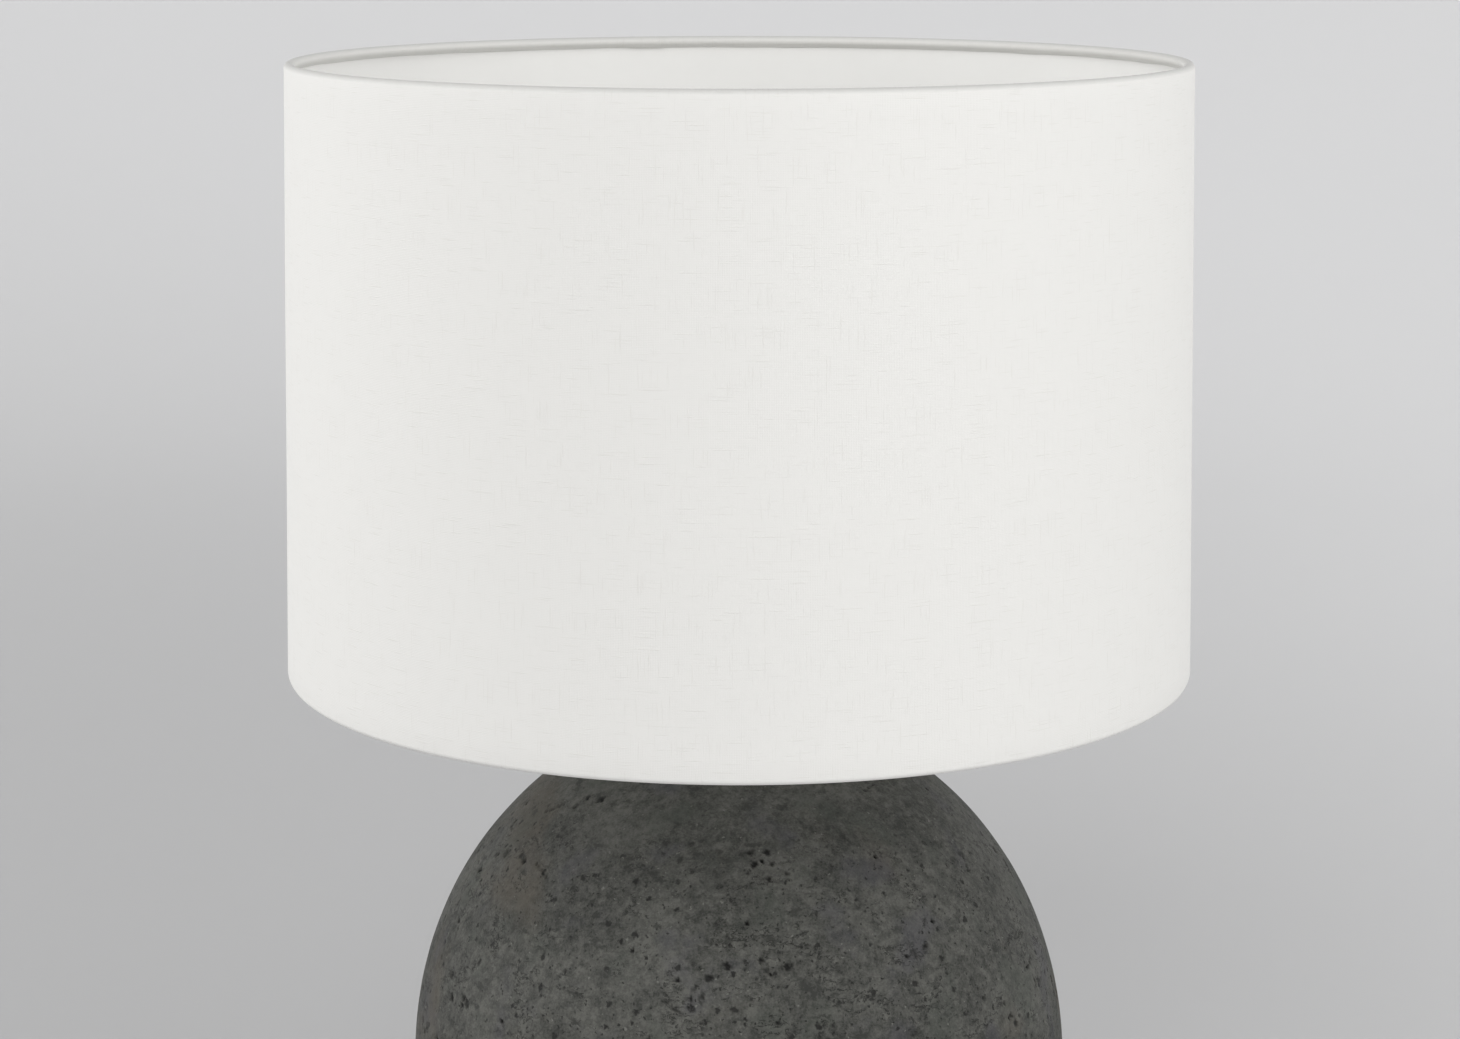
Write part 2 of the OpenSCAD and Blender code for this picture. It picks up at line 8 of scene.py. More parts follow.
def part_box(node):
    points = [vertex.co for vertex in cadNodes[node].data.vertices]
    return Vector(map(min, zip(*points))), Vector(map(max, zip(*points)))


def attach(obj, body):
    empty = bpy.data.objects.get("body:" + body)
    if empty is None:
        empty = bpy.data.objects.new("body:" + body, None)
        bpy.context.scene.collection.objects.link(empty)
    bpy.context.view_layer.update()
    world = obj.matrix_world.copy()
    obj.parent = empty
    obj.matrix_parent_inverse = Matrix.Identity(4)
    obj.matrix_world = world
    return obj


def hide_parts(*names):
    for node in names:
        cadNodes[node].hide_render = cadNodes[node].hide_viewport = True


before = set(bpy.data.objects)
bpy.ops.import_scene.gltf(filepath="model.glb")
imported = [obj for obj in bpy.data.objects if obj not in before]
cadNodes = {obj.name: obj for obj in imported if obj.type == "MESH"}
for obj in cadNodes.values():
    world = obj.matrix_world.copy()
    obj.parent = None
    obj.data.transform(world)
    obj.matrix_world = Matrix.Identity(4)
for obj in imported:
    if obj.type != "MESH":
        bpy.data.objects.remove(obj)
for spare in ("Cube", "Light", "Camera"):   # Blender's own start-up objects
    if spare in bpy.data.objects:
        bpy.data.objects.remove(bpy.data.objects[spare])
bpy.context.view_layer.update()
print("frame loaded with", len(cadNodes), "nodes")


# ---- small helpers ----

def clearSelection():
    if bpy.context.mode != "OBJECT":
        bpy.ops.object.mode_set(mode="OBJECT")
    bpy.ops.object.select_all(action="DESELECT")


def pickFaces(piece, test):
    bpy.ops.object.mode_set(mode="EDIT")
    bpy.ops.mesh.select_mode(type="FACE")
    bpy.ops.mesh.select_all(action="DESELECT")
    bpy.ops.object.mode_set(mode="OBJECT")
    for face in piece.data.polygons:
        face.select = test(face.center)
    bpy.ops.object.mode_set(mode="EDIT")


def drawProfile(name, points):
    # one point in the plane through the axis, extruded along the outline
    clearSelection()
    bpy.ops.mesh.primitive_plane_add(size=0.001, location=(points[0][0], 0, points[0][1]))
    piece = bpy.context.object
    piece.name = piece.data.name = name
    bpy.ops.object.transform_apply(location=True, rotation=True, scale=True)
    bpy.ops.object.mode_set(mode="EDIT")
    bpy.ops.mesh.select_mode(type="VERT")
    bpy.ops.mesh.select_all(action="SELECT")
    bpy.ops.mesh.merge(type="CENTER")
    for start, end in zip(points, points[1:]):
        step = (end[0] - start[0], 0, end[1] - start[1])
        bpy.ops.mesh.extrude_region_move(TRANSFORM_OT_translate={"value": step})
    return piece


def spinProfile(steps):
    bpy.ops.mesh.select_all(action="SELECT")
    bpy.ops.mesh.spin(steps=steps, angle=math.tau, center=(0, 0, 0), axis=(0, 0, 1))
    bpy.ops.mesh.select_all(action="SELECT")
    bpy.ops.mesh.remove_doubles(threshold=0.00002)


def applyModifiers(piece):
    bpy.ops.object.mode_set(mode="OBJECT")
    for modifier in list(piece.modifiers):
        bpy.ops.object.modifier_apply(modifier=modifier.name)


def smoothPiece(piece, angle=35):
    clearSelection()
    piece.select_set(True)
    bpy.context.view_layer.objects.active = piece
    bpy.ops.object.shade_smooth_by_angle(angle=math.radians(angle))
    clearSelection()


def arcPoints(centre, radius, first, last, count):
    turn = math.radians(last - first) / count
    return [(centre[0] + radius * math.cos(math.radians(first) + turn * i),
             centre[1] + radius * math.sin(math.radians(first) + turn * i))
            for i in range(count + 1)]


def curvePoints(start, pull, end, count):
    made = []
    for i in range(count + 1):
        t = i / count
        made.append(tuple((1 - t) ** 2 * a + 2 * t * (1 - t) * b + t * t * c
                          for a, b, c in zip(start, pull, end)))
    return made


# ---- camera ----

shadeLow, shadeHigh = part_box("shade_cover")
camera = dict(
    lens=77.467,
    back=1.561,          # from the lamp's axis
    aboveShade=0.0898,
    tiltDown=11.6366,
    turn=0.166,
)


def placeCamera(c):
    eye = bpy.data.cameras.new("lampCamera")
    eye.lens, eye.sensor_width = c["lens"], 36
    eye.clip_end = 40
    holder = bpy.data.objects.new("lampCamera", eye)
    bpy.context.scene.collection.objects.link(holder)
    holder.location = (0, -c["back"], shadeHigh.z + c["aboveShade"])
    holder.rotation_euler = (math.radians(90 - c["tiltDown"]), 0, math.radians(c["turn"]))
    bpy.context.scene.camera = holder


placeCamera(camera)
print("camera placed")


# ---- studio ----

studio = dict(
    floorRadius=2.4,
    coveRadius=2.6,
    coveRows=24,
    sides=160,
    wallTop=3.4,
    # near the dark spot the paper's colour is painted shade; far from it, the paper's own colour
    paperPaintedShade=(0.45, 0.45, 0.452),
    paperFar=(0.86, 0.86, 0.862),
    paintedShadeCentre=(-1.0, 0.1, 0),   # painted shade: the sweep is painted darkest round here and pales away from it
    nearRadius=0.4,
    farRadius=4.2,
    worldGrey=(0.97, 0.97, 0.975),
    worldStrength=0.75,
    aimHeight=0.36,            # the softboxes point here on the axis
)
lamps = [  # name, azimuth, height, distance, size, watts
    ("softboxLeft", -96, 1.0, 2.2, 1.4, 16),
    ("softboxRight", 54, 1.2, 2.3, 1.4, 12),
    ("softboxBack", 130, 1.5, 2.4, 1.4, 6),
    ("softboxFront", -14, 3.1, 3.1, 1.8, 39),
]


def makeStage(s):
    clearSelection()
    bpy.ops.mesh.primitive_circle_add(vertices=s["sides"], radius=s["floorRadius"],
                                      fill_type="NGON")
    sweep = bpy.context.object
    sweep.name = sweep.data.name = "studioSweep"
    bpy.ops.object.mode_set(mode="EDIT")
    bpy.ops.mesh.select_all(action="SELECT")
    bpy.ops.mesh.region_to_loop()
    cove = arcPoints((s["floorRadius"], s["coveRadius"]), s["coveRadius"], -90, 0, s["coveRows"])
    cove.append((cove[-1][0], s["wallTop"]))
    radius, height = s["floorRadius"], 0
    for nextRadius, nextHeight in cove[1:]:
        rise = (0, 0, nextHeight - height)
        bpy.ops.mesh.extrude_edges_move(TRANSFORM_OT_translate={"value": rise})
        grow = nextRadius / radius
        bpy.ops.transform.resize(value=(grow, grow, 1), center_override=(0, 0, 0))
        radius, height = nextRadius, nextHeight
    smoothPiece(sweep, 60)
    sweep.data.materials.append(paperMaterial(s))


def aimedLamp(aimHeight, name, azimuth, height, distance, size, watts):
    light = bpy.data.lights.new(name, "AREA")
    light.shape, light.size, light.energy = "SQUARE", size, watts
    holder = bpy.data.objects.new(name, light)
    bpy.context.scene.collection.objects.link(holder)
    turn = math.radians(azimuth)
    holder.location = (distance * math.sin(turn), -distance * math.cos(turn), height)
    aim = Vector((0, 0, aimHeight)) - holder.location
    holder.rotation_euler = aim.to_track_quat("-Z", "Y").to_euler()
    holder.visible_camera = False


def makeWorld(s):
    world = bpy.data.worlds.new("studioWorld")
    bpy.context.scene.world = world
    world.use_nodes = True
    sky = world.node_tree.nodes["Background"]
    sky.inputs["Color"].default_value = (*s["worldGrey"], 1)
    sky.inputs["Strength"].default_value = s["worldStrength"]


# ---- shader parts ----

def addNode(tree, kind, settings=None, values=None):
    made = tree.nodes.new(kind)
    made.location = (200 * (len(tree.nodes) % 9), -180 * (len(tree.nodes) // 9))
    for key, value in (settings or {}).items():
        setattr(made, key, value)
    for key, value in (values or {}).items():
        made.inputs[key].default_value = value
    return made


def join(tree, source, output, target, socket):
    tree.links.new(source.outputs[output], target.inputs[socket])


def newGroup(name, inputs, outputs):
    tree = bpy.data.node_groups.new(name, "ShaderNodeTree")
    for label, kind, value in inputs:
        made = tree.interface.new_socket(label, in_out="INPUT", socket_type=kind)
        if value is not None:
            made.default_value = value
    for label, kind in outputs:
        tree.interface.new_socket(label, in_out="OUTPUT", socket_type=kind)
    return tree, addNode(tree, "NodeGroupInput"), addNode(tree, "NodeGroupOutput")


def noiseNode(tree, vector, scale, detail=3.0, roughness=0.55, distortion=0.0):
    made = addNode(tree, "ShaderNodeTexNoise", None, {
        "Scale": scale, "Detail": detail, "Roughness": roughness, "Distortion": distortion})
    tree.links.new(vector, made.inputs["Vector"])
    return made


def mathNode(tree, operation, first, second=None, third=None):
    made = addNode(tree, "ShaderNodeMath", {"operation": operation})
    for i, value in enumerate((first, second, third)):
        if value is None:
            continue
        if isinstance(value, (int, float)):
            made.inputs[i].default_value = value
        else:
            tree.links.new(value, made.inputs[i])
    return made.outputs[0]


def rangeNode(tree, value, low, high, toLow=0.0, toHigh=1.0, smooth=True):
    made = addNode(tree, "ShaderNodeMapRange",
                   {"interpolation_type": "SMOOTHSTEP" if smooth else "LINEAR"},
                   {"To Min": toLow, "To Max": toHigh})
    tree.links.new(value, made.inputs["Value"])
    for socket, limit in (("From Min", low), ("From Max", high)):
        if isinstance(limit, (int, float)):
            made.inputs[socket].default_value = limit
        else:
            tree.links.new(limit, made.inputs[socket])
    return made.outputs["Result"]


def mixColours(tree, factor, first, second, blend="MIX"):
    made = addNode(tree, "ShaderNodeMix", {"data_type": "RGBA", "blend_type": blend})
    for index, value in ((0, factor), (6, first), (7, second)):
        if isinstance(value, (int, float)):
            made.inputs[index].default_value = value
        elif isinstance(value, tuple):
            made.inputs[index].default_value = (*value, 1)
        else:
            tree.links.new(value, made.inputs[index])
    return made.outputs[2]


def newMaterial(name, **values):
    material = bpy.data.materials.new(name)
    material.use_nodes = True
    tree = material.node_tree
    shader = tree.nodes["Principled BSDF"]
    for key, value in values.items():
        shader.inputs[key].default_value = value
    return material, tree, shader


def objectPlace(tree, scale=(1, 1, 1)):
    coords = addNode(tree, "ShaderNodeTexCoord")
    mapping = addNode(tree, "ShaderNodeMapping", None, {"Scale": scale})
    join(tree, coords, "Object", mapping, "Vector")
    return mapping.outputs["Vector"]


def makeFinishGroup():
    # patches of two colours, with a fine grain in the height and the gloss
    tree, entry, exit_ = newGroup("variedFinish", [
        ("Vector", "NodeSocketVector", None),
        ("Colour A", "NodeSocketColor", (0.5, 0.5, 0.5, 1)),
        ("Colour B", "NodeSocketColor", (0.6, 0.6, 0.6, 1)),
        ("Patch Scale", "NodeSocketFloat", 40.0),
        ("Grain Scale", "NodeSocketFloat", 900.0),
        ("Grain Depth", "NodeSocketFloat", 0.3),
        ("Rough Low", "NodeSocketFloat", 0.3),
        ("Rough High", "NodeSocketFloat", 0.5),
    ], [
        ("Colour", "NodeSocketColor"),
        ("Roughness", "NodeSocketFloat"),
        ("Normal", "NodeSocketVector"),
    ])
    vector = entry.outputs["Vector"]
    patches = noiseNode(tree, vector, 40, 5, 0.6)
    join(tree, entry, "Patch Scale", patches, "Scale")
    grain = noiseNode(tree, vector, 900, 2, 0.5)
    join(tree, entry, "Grain Scale", grain, "Scale")
    spread = rangeNode(tree, patches.outputs[0], 0.36, 0.64)
    colour = mixColours(tree, spread, entry.outputs["Colour A"], entry.outputs["Colour B"])
    tree.links.new(colour, exit_.inputs["Colour"])
    patchShare = mathNode(tree, "MULTIPLY", spread, 0.6)
    both = mathNode(tree, "MULTIPLY_ADD", grain.outputs[0], 0.4, patchShare)
    rough = addNode(tree, "ShaderNodeMapRange")
    tree.links.new(both, rough.inputs["Value"])
    join(tree, entry, "Rough Low", rough, "To Min")
    join(tree, entry, "Rough High", rough, "To Max")
    join(tree, rough, "Result", exit_, "Roughness")
    bump = addNode(tree, "ShaderNodeBump", None, {"Distance": 0.0004})
    join(tree, grain, 0, bump, "Height")
    join(tree, entry, "Grain Depth", bump, "Strength")
    join(tree, bump, "Normal", exit_, "Normal")
    return tree


finishGroup = makeFinishGroup()


def variedMaterial(name, colours, patch=40, grain=900, depth=0.3, rough=(0.3, 0.5),
                   stretch=(1, 1, 1), **values):
    material, tree, shader = newMaterial(name, **values)
    group = addNode(tree, "ShaderNodeGroup", {"node_tree": finishGroup}, {
        "Colour A": (*colours[0], 1), "Colour B": (*colours[1], 1),
        "Patch Scale": patch, "Grain Scale": grain, "Grain Depth": depth,
        "Rough Low": rough[0], "Rough High": rough[1]})
    tree.links.new(objectPlace(tree, stretch), group.inputs["Vector"])
    join(tree, group, "Colour", shader, "Base Color")
    join(tree, group, "Roughness", shader, "Roughness")
    join(tree, group, "Normal", shader, "Normal")
    return material


def paperMaterial(s):
    material, tree, shader = newMaterial("shadedStudioPaper", **{
        "Roughness": 0.9, "Specular IOR Level": 0.1})
    # painted shade: the paper is darker near one spot and paler with distance from it
    reach = addNode(tree, "ShaderNodeVectorMath", {"operation": "DISTANCE"}, {1: s["paintedShadeCentre"]})
    tree.links.new(objectPlace(tree), reach.inputs[0])
    pale = rangeNode(tree, reach.outputs["Value"], s["nearRadius"], s["farRadius"])
    paper = mixColours(tree, pale, s["paperPaintedShade"], s["paperFar"])
    tree.links.new(paper, shader.inputs["Base Color"])
    return material


makeStage(studio)
for lamp in lamps:
    aimedLamp(studio["aimHeight"], *lamp)
makeWorld(studio)
bpy.context.scene.view_settings.view_transform = "Standard"
print("studio ready")


# ---- cast base ----

footLow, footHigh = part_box("base_foot")[0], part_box("base_body")[1]
casting = dict(
    footHeight=footLow.z,
    radius=footHigh.x,
    top=footHigh.z,
    equator=0.160,
    dome=0.182,
    lower=0.157,
    foot=0.100,
    footRound=0.008,
    neck=0.036,
    neckFillet=0.006,
    neckRound=0.0025,
    mouth=0.025,
    wall=0.009,
    recess=0.079,
    ledge=0.061,
    ledgeHeight=0.030,
    floor=0.042,
    turns=240,
    outerRows=52,        # below the widest level
    domeShare=1.35,      # rows above it, for each row below
    innerRows=12,
    cornerRows=5,
    footRow=0.002,       # from the foot's rounding to the first row
    footWall=1.5,        # the foot's wall, in walls
    margin=0.012,        # the foot and the neck stay even this far
    unevenDepth=0.0009,
    unevenSize=0.055,
    unevenMiddle=0.85,
    inlet=dict(
        clearance=0.0005,    # round the bush's flange
        spotDepth=0.002,
        hole=0.005,
        sides=48,
        cutterLength=0.06,
        drillLength=0.05,
    ),
    pits=dict(
        seed=23,
        count=980,
        depth=0.0017,
        lowerStretch=1.22,       # reaches the foot, from the round below the middle
        crownAbove=0.303,        # the crown has fewer pits
        crownSkip=0.65,
        singles=0.52,            # up to here a pit is single, then in a cluster, then a crack
        clusters=0.82,
        single=(0.0008, 0.0017, 3),      # smallest radius, spread and how rare the large ones are
        singleDepth=(0.4, 1),
        clustered=(0.0008, 0.0009),
        clusteredDepth=(0.3, 0.9),
        clusterCount=(3, 7),
        clusterSpread=0.0045,
        crackCount=(5, 13),
        crackStep=0.0013,
        crackWander=0.0004,
        crackWidth=0.0007,
        crackDepth=(0.25, 0.6),
        crackTilt=0.5,           # most cracks run level
        clearOfTop=0.016,
        clearOfInlet=0.02,
        inletBeyondFoot=0.01,
        fineRing=0.0022,         # faces this far round a pit are divided
        fineCuts=3,
        widen=1.25,
        steepness=2.5,
        ragged=((600, 0.9), (1500, 0.5)),   # how fine and how strong its outline wanders
        search=0.004,
    ),
)


def castingProfile(c):
    footZ, equator, wide, dome = c["footHeight"], c["equator"], c["radius"], c["dome"]
    rows, corner = c["outerRows"], c["cornerRows"]
    lowerB = c["lower"] / math.sqrt(1 - (c["foot"] / wide) ** 2)

    def lowerR(z):
        return wide * math.sqrt(1 - ((equator - z) / lowerB) ** 2)

    def domeZ(r):
        return equator + dome * math.sqrt(1 - (r / wide) ** 2)

    roundTop = footZ + c["footRound"]
    points = curvePoints((c["foot"] - c["footRound"], footZ), (c["foot"], footZ),
                         (lowerR(roundTop), roundTop), corner)
    first = math.asin((equator - roundTop - c["footRow"]) / lowerB)
    turns = [first * (1 - i / rows) for i in range(rows)]
    points += [(wide * math.cos(turn), equator - lowerB * math.sin(turn)) for turn in turns]
    shoulder = c["neck"] + c["neckFillet"]
    last = math.acos(shoulder / wide)
    domeRows = int(rows * c["domeShare"])
    turns = [last * i / domeRows for i in range(domeRows)]
    points += [(wide * math.cos(turn), equator + dome * math.sin(turn)) for turn in turns]
    neckZ = domeZ(c["neck"])
    points += curvePoints((shoulder, domeZ(shoulder)), (c["neck"], neckZ),
                          (c["neck"], neckZ + c["neckFillet"]), corner)
    points += arcPoints((c["neck"] - c["neckRound"], c["top"] - c["neckRound"]),
                        c["neckRound"], 0, 90, corner)
    points.append((c["mouth"], c["top"]))
    # back down the inside
    inWide, inDome, inRows = wide - c["wall"], dome - c["wall"], c["innerRows"]
    last = math.acos(c["mouth"] / inWide)
    turns = [last * i / inRows for i in range(inRows, -1, -1)]
    points += [(inWide * math.cos(turn), equator + inDome * math.sin(turn)) for turn in turns]
    inFoot = c["foot"] - c["footWall"] * c["wall"]
    inB = c["lower"] / math.sqrt(1 - (inFoot / inWide) ** 2)
    last = math.asin((equator - c["floor"]) / inB)
    turns = [last * i / inRows for i in range(1, inRows + 1)]
    points += [(inWide * math.cos(turn), equator - inB * math.sin(turn)) for turn in turns]
    points += [(c["ledge"], c["floor"]), (c["ledge"], c["ledgeHeight"]),
               (c["recess"], c["ledgeHeight"]), (c["recess"], footZ), points[0]]
    return points


def cutInlet(piece, i):
    # the bush's hole and the flat spot round its flange
    low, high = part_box("cord_bush")
    centreZ, spotRadius = (low.z + high.z) / 2, (high.z - low.z) / 2 + i["clearance"]
    spotY = high.y - i["spotDepth"]
    clearSelection()
    bpy.ops.mesh.primitive_cylinder_add(
        vertices=i["sides"], radius=spotRadius, depth=i["cutterLength"],
        location=(0, spotY + i["cutterLength"] / 2, centreZ), rotation=(math.pi / 2, 0, 0))
    cutter = bpy.context.object
    bpy.ops.object.transform_apply(location=True, rotation=True, scale=True)
    bpy.ops.object.mode_set(mode="EDIT")
    pickFaces(cutter, lambda centre: centre.y < spotY + 0.0001)
    bpy.ops.mesh.inset(thickness=spotRadius - i["hole"])
    bpy.ops.mesh.extrude_region_move(TRANSFORM_OT_translate={"value": (0, -i["drillLength"], 0)})
    bpy.ops.object.mode_set(mode="OBJECT")
    cut = piece.modifiers.new("inlet", "BOOLEAN")
    cut.operation, cut.object, cut.solver = "DIFFERENCE", cutter, "EXACT"
    clearSelection()
    piece.select_set(True)
    bpy.context.view_layer.objects.active = piece
    bpy.ops.object.modifier_apply(modifier=cut.name)
    bpy.data.objects.remove(cutter)


def scatterPits(c, p):
    # single pits, loose clusters, and short cracks made of small pits in a row
    random.seed(p["seed"])
    middle = Vector((0, 0, c["equator"]))

    def onSurface():
        turn, height = random.uniform(0, math.tau), random.uniform(-1, 1)
        across = math.sqrt(1 - height * height)
        tall = c["dome"] if height > 0 else c["lower"] * p["lowerStretch"]
        return Vector((c["radius"] * across * math.cos(turn), c["radius"] * across * math.sin(turn),
                       c["equator"] + tall * height))

    def randomStep(size):
        return Vector([random.gauss(0, size) for _ in range(3)])

    pits = []
    while len(pits) < p["count"]:
        place = onSurface()
        if place.z > p["crownAbove"] and random.random() < p["crownSkip"]:
            continue
        kind = random.random()
        if kind < p["singles"]:
            small, spread, rarity = p["single"]
            pits.append((place, small + spread * random.random() ** rarity,
                         random.uniform(*p["singleDepth"])))
        elif kind < p["clusters"]:
            small, spread = p["clustered"]
            for _ in range(random.randint(*p["clusterCount"])):
                nudge = randomStep(p["clusterSpread"])
                pits.append((place + nudge, small + spread * random.random(),
                             random.uniform(*p["clusteredDepth"])))
        else:
            heading = randomStep(1).cross(place - middle)
            heading.z *= p["crackTilt"]
            heading = heading.normalized() * p["crackStep"]
            for _ in range(random.randint(*p["crackCount"])):
                place = place + heading + randomStep(p["crackWander"])
                pits.append((place, p["crackWidth"], random.uniform(*p["crackDepth"])))
    return pits


def makeCasting(c):
    p = c["pits"]
    piece = drawProfile("baseCasting", castingProfile(c))
    spinProfile(c["turns"])
    bpy.ops.mesh.normals_make_consistent(inside=False)
    bpy.ops.object.mode_set(mode="OBJECT")
    cutInlet(piece, c["inlet"])

    # pits land on the wall, then the faces around them are divided finely
    outside = kdtree.KDTree(len(piece.data.vertices))
    for vertex in piece.data.vertices:
        outside.insert(vertex.co, vertex.index)
    outside.balance()

    def onWall(place):
        co, index, _ = outside.find(place)
        normal = piece.data.vertices[index].normal
        return place - normal * (place - co).dot(normal)

    bushLow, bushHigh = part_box("cord_bush")
    inletPlace = Vector((0, c["foot"] + p["inletBeyondFoot"], (bushLow.z + bushHigh.z) / 2))
    lowest, highest = c["footHeight"] + c["margin"], c["top"] - p["clearOfTop"]
    pits = [(onWall(place), radius, depth) for place, radius, depth in scatterPits(c, p)]
    pits = [pit for pit in pits if lowest < pit[0].z < highest
            and (pit[0] - inletPlace).length > p["clearOfInlet"]]
    pitTree = kdtree.KDTree(len(pits))
    for i, pit in enumerate(pits):
        pitTree.insert(pit[0], i)
    pitTree.balance()

    def nearPit(centre):
        _, index, distance = pitTree.find(centre)
        return distance < pits[index][1] + p["fineRing"]

    pickFaces(piece, nearPit)
    bpy.ops.mesh.subdivide(number_cuts=p["fineCuts"])
    bpy.ops.object.mode_set(mode="OBJECT")

    # how deep each point lies in a pit, kept for the material too, which colours the pits darker by
    # it
    depthOf = []
    for vertex in piece.data.vertices:
        ragged = 1
        for fine, strong in p["ragged"]:
            ragged += strong * noise.noise(vertex.co * fine)
        depth = 0.0
        for _, index, distance in pitTree.find_range(vertex.co, p["search"]):
            reach = p["widen"] * pits[index][1] * ragged
            if distance < reach:
                bowl = 1 - (distance / reach) ** p["steepness"]
                depth = max(depth, pits[index][2] * bowl)
        depthOf.append(depth)
    middle = Vector((0, 0, c["equator"]))
    outer = [v.index for v in piece.data.vertices
             if lowest < v.co.z < c["top"] - c["margin"] and v.normal.dot(v.co - middle) > 0]
    piece.vertex_groups.new(name="wall").add(outer, 1.0, "REPLACE")
    pitGroup = piece.vertex_groups.new(name="pits")
    for index, depth in enumerate(depthOf):
        if depth > 0:
            pitGroup.add([index], depth, "REPLACE")
    piece.data.attributes.new("pitDepth", "FLOAT", "POINT").data.foreach_set("value", depthOf)

    uneven = bpy.data.textures.new("unevenWall", "CLOUDS")
    uneven.noise_scale, uneven.noise_depth = c["unevenSize"], 3
    wave = piece.modifiers.new("unevenWall", "DISPLACE")
    wave.texture, wave.strength, wave.mid_level = uneven, c["unevenDepth"], c["unevenMiddle"]
    wave.vertex_group, wave.texture_coords = "wall", "LOCAL"
    dent = piece.modifiers.new("pits", "DISPLACE")
    dent.strength, dent.mid_level, dent.vertex_group = -p["depth"], 0.0, "pits"
    clearSelection()
    piece.select_set(True)
    bpy.context.view_layer.objects.active = piece
    applyModifiers(piece)
    smoothPiece(piece, 50)
    piece.data.materials.append(cementMaterial(cement))
    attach(piece, "base")
    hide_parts("base_body", "base_foot")
    print("baseCasting:", len(piece.data.polygons), "faces,", len(pits), "pits")


cement = dict(
    dark=(0.034, 0.035, 0.031),
    light=(0.118, 0.118, 0.106),
    blue=(0.070, 0.068, 0.080),
    green=(0.066, 0.074, 0.062),
    brown=(0.098, 0.086, 0.068),
    # colour of pits, specks and hairlines: partly their darker cement, partly painted shade inside
    # the hollows
    pit=(0.010, 0.010, 0.009),
    fleck=(0.20, 0.20, 0.18),
    raggedBy=0.0036,              # how far the edges of spots wander, in metres
    smoothFrom=0.285,             # fewer spots between these two heights
    smoothTo=0.315,
    wobble=(420, 2, 0.6),         # each noise: its scale, detail and roughness
    clouds=(24, 5, 0.58),
    blotches=(85, 5, 0.62, 0.4),
    mottle=(260, 4, 0.62),
    grain=(900, 3, 0.65),
    tint=(33, 3, 0.5),
    warmth=(14, 3, 0.5),
    smudges=(70, 4, 0.65),
    hairCourse=(60, 4, 0.7),
    hairPlaces=(48, 2, 0.5),
    levelStretch=3.2,             # smudges and hairlines run level
    specks=(150, 0.02, 0.36, 1.6),    # scale, smallest, largest and how rare the large ones are
    dots=(380, 0.04, 0.38, 1.7),
    flecks=(330, 0.0, 0.28, 4),
    darkest=-0.66,
    cloudShare=0.50,
    blotchShare=0.50,
    mottleShare=0.66,
    grainShare=0.66,
    bumpStrength=0.75,
    bumpHeight=0.0007,
)


def speckMask(tree, vector, scale, smallest, largest, rarity):
    # round-ish spots, most of them small, a few large
    cells = addNode(tree, "ShaderNodeTexVoronoi", None, {"Scale": scale})
    tree.links.new(vector, cells.inputs["Vector"])
    split = addNode(tree, "ShaderNodeSeparateColor")
    join(tree, cells, "Color", split, 0)
    chance = mathNode(tree, "POWER", split.outputs[0], rarity)
    size = mathNode(tree, "MULTIPLY_ADD", chance, largest - smallest, smallest)
    inner = mathNode(tree, "MULTIPLY", size, 0.45)
    return rangeNode(tree, cells.outputs["Distance"], inner, size, 1.0, 0.0)


